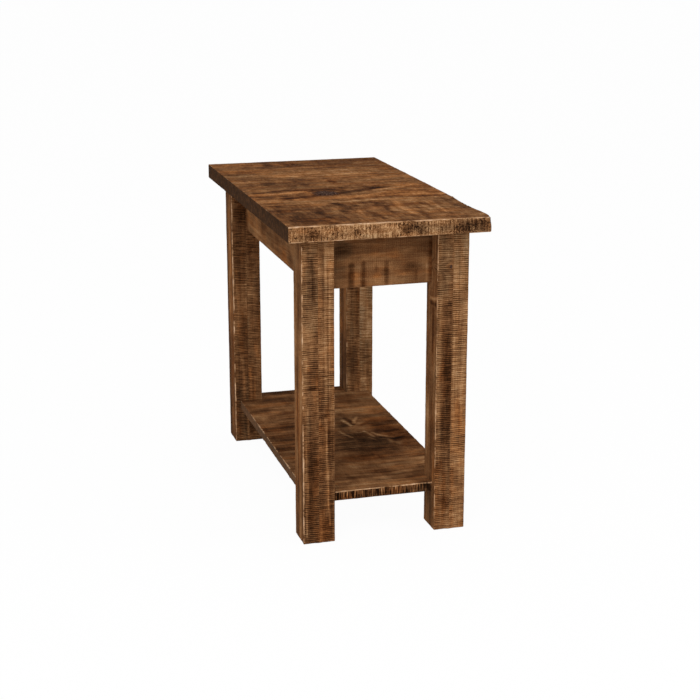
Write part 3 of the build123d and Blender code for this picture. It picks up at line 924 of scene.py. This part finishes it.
def make_top():
    """The top's four boards, with their grain across the table and their ends dark."""
    surface, edge = row_faces(TOP_BOARDS)
    spots = marks_on(surface, TOP_STAINS) + marks_on(edge, TOP_EDGE_STAINS)
    spots += strokes_on(surface, TOP_STROKES)
    knots = knots_on(surface, TOP_KNOTS)
    for node, (seed, face, tone, warmth) in zip(TOP_BOARDS, TOP_LOOKS):
        board = row_board(TOP_BOARDS, node, seed, TOP_ARRIS, "end", "edge", face)
        board.tone = tone
        board.warmth = warmth
        board.marks = within(board, spots)
        board.knots = within(board, knots)
        if node == TOP_BOARDS[-1]:
            board.worn_edges = TOP_WEAR
            corner = np.array([board.high[X], board.low[Y], board.high[Z]])
            board.dents = [Dent(corner + place, radii, depth) for place, radii, depth in TOP_DENTS]
        board.saw_depth = TOP_SAW_DEPTH
        board.hidden = ((Z, LOW),)
        board.steps = TOP_STEPS
        finish_piece(board)


# ==== Legs ====
# On each leg's front, right and down from its top left corner
LEG_STAINS = {
    "front_left": (
        (20, 80, 26, 70, -0.1, -0.2),
        (18, 140, 34, 300, 0.03, -0.35),
        (22, 289, 22, 9, -0.42, 0),
        (9, 246, 12, 34, 0.18, 0.3),
        (20, 262, 22, 50, -0.1, 0.1),
        (16, 490, 40, 330, -0.26, 0.15),
        (48, 490, 40, 330, -0.26, 0.15),
        (48, 150, 34, 300, 0.05, -0.1),
        (54, 385, 14, 40, -0.14, 0),
        (36, 572, 26, 70, 0.14, 0.4),
    ),
    "front_right": (
        (14, 50, 30, 140, -0.06, -0.6),
        (50, 50, 30, 140, 0, -0.5),
        (20, 330, 26, 320, -0.1, 0.2),
        (48, 330, 30, 500, 0.03, 0.2),
        (26, 141, 9, 12, -0.2, 0),
        (50, 130, 26, 40, -0.06, -0.2),
    ),
    "back_left": (
        (18, 130, 34, 260, -0.12, 0.1),
        (48, 150, 34, 200, -0.1, 0),
        (30, 250, 50, 80, 0.1, 0.1),
        (34, 480, 40, 120, 0.03, 0.2),
        (26, 380, 40, 120, -0.07, 0.1),
        (20, 520, 34, 120, -0.05, -0.3),
    ),
    "back_right": (
        (14, 200, 26, 240, -0.08, -0.1),
        (16, 425, 26, 90, -0.16, -0.2),
        (44, 435, 36, 90, -0.12, -0.2),
        (48, 270, 34, 300, 0.05, -0.3),
        (22, 384, 50, 12, 0.1, 0.2),
    ),
}
# Half width, tone, warmth and the points, on the same faces
LEG_STROKES = {
    "front_left": (
        (1.5, 0.34, 0, (9, 330), (8, 420), (9, 500), (7, 590)),
        (1.5, 0.34, 0, (46, 350), (49, 450), (50, 520), (54, 570)),
        (1.3, 0.18, 0, (57, 330), (58, 480)),
        (2.0, 0.12, 0, (46, 12), (47, 330)),
        (1.6, -0.12, 0, (42, 30), (42, 300)),
        (1.6, 0.12, 0, (54, 30), (53, 300)),
        (1.6, -0.12, 0, (50, 60), (50, 330)),
        (2.0, -0.16, 0, (20, 40), (23, 120)),
    ),
    "front_right": (
        (10.0, -0.24, 0, (21, 150), (22, 300), (20, 415)),
        (4.0, -0.12, 0, (28, 160), (28, 320)),
        (9.0, -0.1, 0.2, (22, 430), (22, 560)),
        (1.6, 0.1, 0.1, (36, 150), (37, 560)),
        (1.5, 0.12, 0, (52, 60), (52, 150)),
        (2.4, 0.1, 0.1, (7, 140), (6, 300), (8, 420)),
        (1.4, -0.12, 0, (44, 30), (45, 190)),
    ),
    "back_left": (
        (3.0, 0.2, 0.3, (22, 440), (24, 520)),
        (3.0, 0.2, 0.3, (37, 430), (38, 520)),
        (2.4, 0.16, 0.2, (47, 450), (46, 505)),
        (2.6, 0.22, 0.2, (29, 532), (30, 600)),
        (3.5, 0.08, 0.2, (10, 200), (11, 330)),
    ),
    "back_right": (
        (4.0, -0.14, 0, (26, 110), (27, 380)),
        (2.2, 0.1, 0.1, (6, 120), (6, 380)),
        (2.2, 0.12, 0.2, (52, 130), (51, 380)),
    ),
}
# On each leg's left face, right and down from its top left corner
LEG_SIDE_STAINS = {
    "front_left": (
        (32, 300, 70, 700, 0.05, 0),
        (12, 110, 22, 60, -0.06, -0.3),
        (50, 310, 14, 60, 0.06, -0.2),
        (20, 360, 24, 120, -0.05, 0.5),
        (30, 500, 44, 120, -0.04, 0.2),
    ),
    "front_right": (
        (32, 300, 70, 700, 0.05, 0),
        (40, 390, 30, 130, -0.1, 0.3),
        (34, 560, 50, 90, -0.08, -0.4),
        (52, 480, 30, 60, 0.06, 0.3),
    ),
    "back_left": (
        (32, 300, 70, 700, 0.09, 0.2),
        (48, 220, 30, 330, 0.07, 0.3),
        (12, 480, 16, 330, -0.14, -0.5),
        (40, 420, 30, 160, -0.04, 0.3),
    ),
    "back_right": (
        (36, 210, 50, 80, -0.12, 0.3),
        (22, 355, 24, 36, 0.1, 0.8),
        (36, 440, 60, 150, -0.12, -0.3),
    ),
}
LEG_SIDE_STROKES = {
    "front_left": (
        (3.0, 0.14, 0.2, (35, 308), (33, 400), (33, 490)),
        (2.5, -0.1, 0.2, (24, 250), (26, 420)),
    ),
    "front_right": (
        (3.5, 0.28, 0, (22, 137), (42, 136), (62, 130)),
        (3.5, -0.22, 0.2, (26, 146), (60, 144)),
        (5.0, -0.18, 0.3, (42, 156), (40, 240)),
        (2.6, 0.16, 0.1, (18, 335), (17, 440)),
        (2.2, 0.12, 0.1, (54, 160), (54, 420)),
    ),
    "back_left": (
        (2.5, 0.08, 0.1, (30, 60), (30, 300)),
    ),
    "back_right": (
        (2.5, 0.1, 0.2, (50, 140), (50, 330)),
    ),
}
# Seed and tone of each leg's outer and inner board
LEG_BOARDS = {
    "front_left": ((101, 0.0), (108, 0.02)),
    "front_right": ((118, 0.09), (125, 0.02)),
    "back_left": ((135, -0.09), (142, -0.07)),
    "back_right": ((152, 0.15), (159, 0.03)),
}
LEG_ARRIS = 1.5
LEG_KNOTS = {"front_right": ((27, 69, 6, 8),)}
LEG_EDGE_WEAR = {"left": 0.85, "right": 0.55}  # of the front left arris of the legs on a side


def make_leg(corner):
    """A leg's two boards, sawn on the faces that look front and back."""
    boards, low, high = leg_box(corner)
    front, left = upright_faces(low, high)
    spots = marks_on(front, LEG_STAINS[corner]) + strokes_on(front, LEG_STROKES[corner])
    spots += marks_on(left, LEG_SIDE_STAINS[corner])
    spots += strokes_on(left, LEG_SIDE_STROKES[corner])
    knots = knots_on(front, LEG_KNOTS.get(corner, ()))
    table_side = corner.split("_")[1]
    for node, (seed, tone) in zip(boards, LEG_BOARDS[corner]):
        board = Board(node, Z, Y, seed, LEG_ARRIS)
        board.tone = tone
        board.marks = within(board, spots)
        board.knots = within(board, knots)
        if board.low[X] == low[X]:
            board.glued = [(X, HIGH)]
            board.worn_edges = (((X, LOW), (Y, LOW), LEG_EDGE_WEAR[table_side]),)
        else:
            board.glued = [(X, LOW)]
        board.skins = dict(zip(SIDES, ("smooth", "smooth", "sawn", "sawn", "end", "end")))
        finish_piece(board)


# ==== Aprons ====
# On the front and the left apron, right and down from its top left corner
APRON_STAINS = (
    (26, 31, 38, 32, -0.24, -1.2),
    (22, 74, 26, 30, -0.1, -0.4),
    (52, 88, 20, 26, 0.1, 0.5),
    (98, 88, 24, 20, 0.07, 0.5),
    (95, 52, 80, 24, 0.06, 0),
    (161, 73, 44, 20, -0.34, -0.1),
    (130, 18, 140, 12, -0.08, -0.2),
    (202, 55, 10, 100, -0.22, 0.4),
)
APRON_STROKES = (
    (6.0, -0.3, 0, (44, 64), (43, 104)),
    (4.6, -0.3, 0.2, (67, 60), (67, 104)),
    (4.6, -0.28, 0.1, (113, 62), (113, 100)),
    (3.5, -0.14, 0, (93, 66), (93, 76)),
    (3.5, -0.12, 0.1, (172, 82), (172, 100)),
    (2.5, 0.12, 0, (194, 66), (194, 102)),
    (2.5, 0.1, 0.2, (150, 86), (108, 88)),
    (3.0, -0.08, 0, (140, 30), (200, 34)),
)
SIDE_APRON_STAINS = (
    (285, 50, 640, 120, -0.04, 0),
    (25, 70, 60, 60, 0.1, 0.3),
    (90, 80, 60, 34, 0.05, 0.3),
    (70, 20, 140, 30, -0.12, 0.2),
    (175, 60, 60, 100, -0.1, 0),
    (275, 84, 16, 40, 0.1, 0.1),
    (330, 40, 150, 60, -0.1, 0),
    (370, 92, 60, 24, 0.08, 0.6),
    (500, 50, 120, 100, -0.14, 0),
)
APRON_LAP = 0.8  # how far an apron's end reaches into the uneven face of a leg
APRON_SEEDS = {"front": 211, "back": 224, "left": 237, "right": 250}
APRON_ARRIS = 0.9
APRON_SAW_DEPTH = 0.12
APRON_STEP = 1.5
APRON_TONE = 0.04


def make_aprons():
    """The four aprons between the legs, without their hidden tenons."""
    inner_low = high_of("leg_front_left_inner")
    inner_high = low_of("leg_back_right_inner")
    for side, seed in APRON_SEEDS.items():
        node = f"apron_{side}"
        along = X if side in ("front", "back") else Y
        low, high = low_of(node), high_of(node)
        low[along] = inner_low[along] - APRON_LAP
        high[along] = inner_high[along] + APRON_LAP
        board = Board(node, along, Z, seed, APRON_ARRIS, low, high)
        front, left = upright_faces(low, high)
        if side == "front":
            board.marks = marks_on(front, APRON_STAINS) + strokes_on(front, APRON_STROKES)
        if side == "left":
            board.marks = marks_on(left, SIDE_APRON_STAINS)
        through = board.through
        board.skins = dict.fromkeys(SIDES, "smooth")
        board.skins.update({(through, LOW): "apron", (through, HIGH): "apron"})
        board.sawn_axis = through
        board.tone = APRON_TONE
        board.steps[along] = APRON_STEP
        board.saw_depth = APRON_SAW_DEPTH
        finish_piece(board)


# ==== Shelf ====
SHELF_BOARDS = ("shelf_board_back", "shelf_board_middle", "shelf_board_front")
SHELF_GAP = 0.3  # from the shelf to a leg
SHELF_ARRIS = 1.4
SHELF_STEPS = {X: 1.6, Y: 3.0, Z: 2.6}
SHELF_WEAR = 0.75
SHELF_LOOKS = ((307, 0.0), (326, -0.06), (345, 0.03))  # seed and tone of each board
# Right and down from the back left corner, width, height, tone, warmth
SHELF_STAINS = (
    (150, 12, 320, 30, -0.16, 0),
    (40, 66, 90, 60, -0.1, 0),
    (60, 96, 120, 30, 0.04, 0.3),
    (236, 112, 50, 50, -0.14, 0.2),
    (268, 198, 70, 70, 0.14, 0.4),
    (215, 190, 50, 60, 0.06, 0.2),
    (50, 350, 130, 230, -0.1, 0.2),
    (186, 262, 34, 60, -0.2, -0.3),
    (176, 310, 24, 70, -0.12, -0.3),
    (212, 302, 50, 60, 0.18, 0.1),
    (266, 262, 60, 30, 0.04, 0.6),
    (262, 330, 76, 96, -0.12, 0.5),
    (198, 410, 130, 108, -0.25, -0.8),
    (275, 402, 56, 110, -0.12, 0.5),
    (250, 408, 12, 30, 0.34, -0.2),
    (262, 430, 16, 22, 0.24, -0.6),
    (205, 456, 70, 50, -0.08, 0.5),
    (168, 498, 90, 40, -0.14, 0.4),
    (205, 545, 240, 60, 0.09, 0.1),
    (175, 572, 44, 74, -0.12, 0),
    (190, 640, 240, 24, 0.05, 0.1),
    (270, 500, 60, 24, 0.1, 0.2),
)
# Half width, tone, warmth and the points, each right and down from the back left corner
SHELF_STROKES = (
    (4.5, 0.44, -0.3, (187, 250), (191, 270), (195, 292)),
    (4.5, 0.32, 0, (224, 238), (213, 258), (206, 276)),
    (5.0, -0.24, 0.1, (197, 236), (202, 262), (203, 284)),
    (3.6, 0.32, -0.4, (160, 326), (166, 350), (176, 370)),
    (4.0, 0.34, -0.2, (213, 338), (219, 356), (222, 378)),
    (4.0, 0.34, -0.2, (227, 350), (235, 368), (250, 380)),
    (3.4, 0.22, -0.5, (212, 380), (222, 402)),
    (3.4, 0.16, -0.4, (184, 330), (200, 344), (212, 336)),
    (5.0, -0.26, 0.2, (236, 386), (262, 400), (284, 392)),
    (6.0, -0.16, 0.4, (214, 300), (240, 276), (290, 282)),
    (6.0, -0.14, 0.4, (244, 340), (262, 352), (296, 346)),
    (4.0, -0.18, 0, (100, 586), (180, 592), (294, 580)),
    (4.0, -0.16, 0, (100, 606), (200, 610), (294, 600)),
    (3.5, -0.12, 0, (100, 628), (200, 632), (294, 624)),
    (6.0, -0.14, 0.1, (60, 206), (160, 214), (200, 212)),
    (6.0, 0.08, 0.2, (20, 150), (140, 158), (230, 150)),
)
# On the front edge: right and down from its top left corner
SHELF_EDGE_STAINS = (
    (75, 8, 60, 30, 0.04, 0.3),
    (185, 10, 60, 30, -0.05, 0.2),
    (240, 10, 30, 30, -0.22, -0.3),
)


def leg_notches(*corners):
    """The boxes that legs take from the shelf, with the gap round them."""
    boxes = [leg_box(corner)[1:] for corner in corners]
    return [(low - SHELF_GAP, high + SHELF_GAP) for low, high in boxes]


def make_shelf():
    """The shelf's three boards, notched round the legs."""
    surface, edge = row_faces(SHELF_BOARDS)
    spots = marks_on(surface, SHELF_STAINS) + strokes_on(surface, SHELF_STROKES)
    spots += marks_on(edge, SHELF_EDGE_STAINS)
    for node, (seed, tone) in zip(SHELF_BOARDS, SHELF_LOOKS):
        ends, edge, face = "pale_end", "burnt_edge", "worked"
        board = row_board(SHELF_BOARDS, node, seed, SHELF_ARRIS, ends, edge, face)
        board.tone = tone
        board.marks = within(board, spots)
        board.worn_edges = [((X, LOW), (Z, HIGH), SHELF_WEAR)]
        if node == SHELF_BOARDS[0]:
            board.notches = leg_notches("back_right", "back_left")
        if node == SHELF_BOARDS[-1]:
            board.notches = leg_notches("front_left", "front_right")
            board.worn_edges.append(((Y, LOW), (Z, HIGH), SHELF_WEAR))
        board.steps = SHELF_STEPS
        finish_piece(board)


# ==== Pieces that keep their CAD mesh ====
def dress_nodes():
    """Give the blocks, buttons, dowels and screws their materials."""
    block = inner_wood("block", Z, srgb(128, 88, 54), srgb(78, 48, 28))
    beech = inner_wood("dowel", Y, srgb(206, 170, 124), srgb(172, 132, 88))
    steel = screw_steel("screw")
    for name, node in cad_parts.items():
        if name.endswith("screws"):
            wanted = steel
        elif name.endswith("dowels"):
            wanted = beech
        elif name.startswith("corner_block") or name == "top_buttons":
            wanted = block
        else:
            continue
        for slot in node.material_slots:
            slot.material = wanted


# ==== Room ====
def seen_share(g):
    """1 where the camera, a reflection or glass looks, 0 for light that reaches a surface."""
    path = g.node("LightPath", {})
    total = path.outputs["Is Camera Ray"]
    for name in ("Is Glossy Ray", "Is Transmission Ray"):
        total = g.math("ADD", total, path.outputs[name], clamp=True)
    return total


def make_world():
    """White to the camera and in reflections, and a softer white as light."""
    world = bpy.data.worlds.new("studio")
    bpy.context.scene.world = world
    g = Graph(world)
    light = g.node("Background", {"Color": WHITE, "Strength": WORLD_LIGHT})
    seen = g.node("Background", {"Color": WHITE, "Strength": 1.0})
    both = g.node("MixShader", {0: seen_share(g), 1: light.outputs[0], 2: seen.outputs[0]})
    g.node("OutputWorld", {"Surface": both.outputs[0]})


def make_floor():
    """A wide white floor that keeps a faint shadow."""
    half = FLOOR_HALF
    mesh = bpy.data.meshes.new("floor")
    corners = [(-half, -half, 0), (half, -half, 0), (half, half, 0), (-half, half, 0)]
    mesh.from_pydata(corners, [], [(0, 1, 2, 3)])
    floor = bpy.data.objects.new("floor", mesh)
    bpy.context.scene.collection.objects.link(floor)
    g = Graph(bpy.data.materials.new("floor"))
    matt = g.node("BsdfDiffuse", {"Color": WHITE})
    glow = g.node("Emission", {"Strength": 1.0})
    share = g.math("MULTIPLY", seen_share(g), FLOOR_GLOW)
    both = g.node("MixShader", {0: share, 1: matt.outputs[0], 2: glow.outputs[0]})
    g.node("OutputMaterial", {"Surface": both.outputs[0]})
    mesh.materials.append(g.owner)


def aimed(data, place, aim):
    """An object that holds a lamp or a camera at a place, pointed at another."""
    holder = bpy.data.objects.new(data.name, data)
    holder.location = place
    holder.rotation_euler = (Vector(aim) - Vector(place)).to_track_quat("-Z", "Y").to_euler()
    bpy.context.scene.collection.objects.link(holder)
    return holder


def make_lamps():
    """Square soft lamps, pointed at the table."""
    for name, place, size, watts in LAMPS:
        light = bpy.data.lights.new(name, "AREA")
        light.shape = "SQUARE"
        light.size = size
        light.energy = watts
        aimed(light, place, LAMP_AIM)


def make_camera():
    camera = bpy.data.cameras.new("camera")
    camera.lens = CAMERA_LENS
    camera.sensor_width = CAMERA_SENSOR
    camera.clip_end = CAMERA_REACH
    bpy.context.scene.camera = aimed(camera, CAMERA_PLACE, CAMERA_AIM)


make_camera()
make_world()
make_floor()
make_lamps()
make_top()
for leg_corner in LEG_BOARDS:
    make_leg(leg_corner)
make_aprons()
make_shelf()
dress_nodes()

bpy.context.scene.view_settings.view_transform = "Standard"
